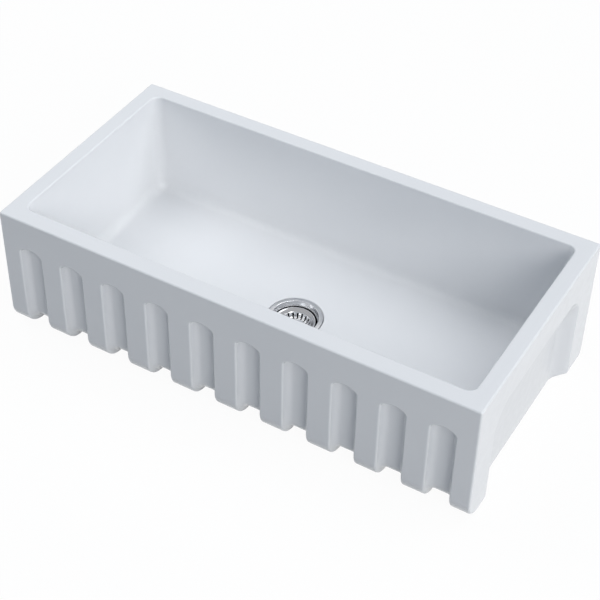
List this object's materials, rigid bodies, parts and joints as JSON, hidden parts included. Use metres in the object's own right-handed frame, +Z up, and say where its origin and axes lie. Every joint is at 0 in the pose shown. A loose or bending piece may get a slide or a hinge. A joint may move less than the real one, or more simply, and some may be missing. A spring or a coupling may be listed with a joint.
{
  "type": "apron front kitchen sink",
  "caption": "Farmhouse single-bowl sink with a fluted, round-footed apron front, recessed ends and a lift-out basket strainer in its drain.",
  "frame": {"origin": "centre of the base, under the drain, on the plane that the foot rail stands on", "axes": "+X to the right when facing the apron, +Y towards the back, +Z up"},
  "size_m": [0.911, 0.4604, 0.254],
  "materials": {
    "fireclay": "gloss",
    "polished_stainless": "polished",
    "plain_stainless": "satin",
    "nut_brass": "satin",
    "black_rubber": "matte",
    "grey_rubber": "matte",
    "fibre": "matte",
    "holder_plastic": "satin"
  },
  "bodies": {
    "sink": {"sink_body": "fireclay", "strainer_body": "polished_stainless", "flange_seal": "grey_rubber", "rubber_washer": "black_rubber", "friction_washer": "fibre", "lock_nut": "nut_brass", "outlet_nipple": "plain_stainless", "stem_holder": "holder_plastic", "stem_clip": "plain_stainless"},
    "basket": {"basket_cup": "polished_stainless", "basket_stopper": "black_rubber", "stopper_washer": "plain_stainless", "basket_stem": "plain_stainless", "stem_nut": "plain_stainless", "basket_knob": "polished_stainless"}
  },
  "joints": [
    {"name": "basket_lift", "type": "slide", "parent": "sink", "child": "basket", "axis": [0, 0, 1], "range_m": [-0.006, 0.26]}
  ]
}
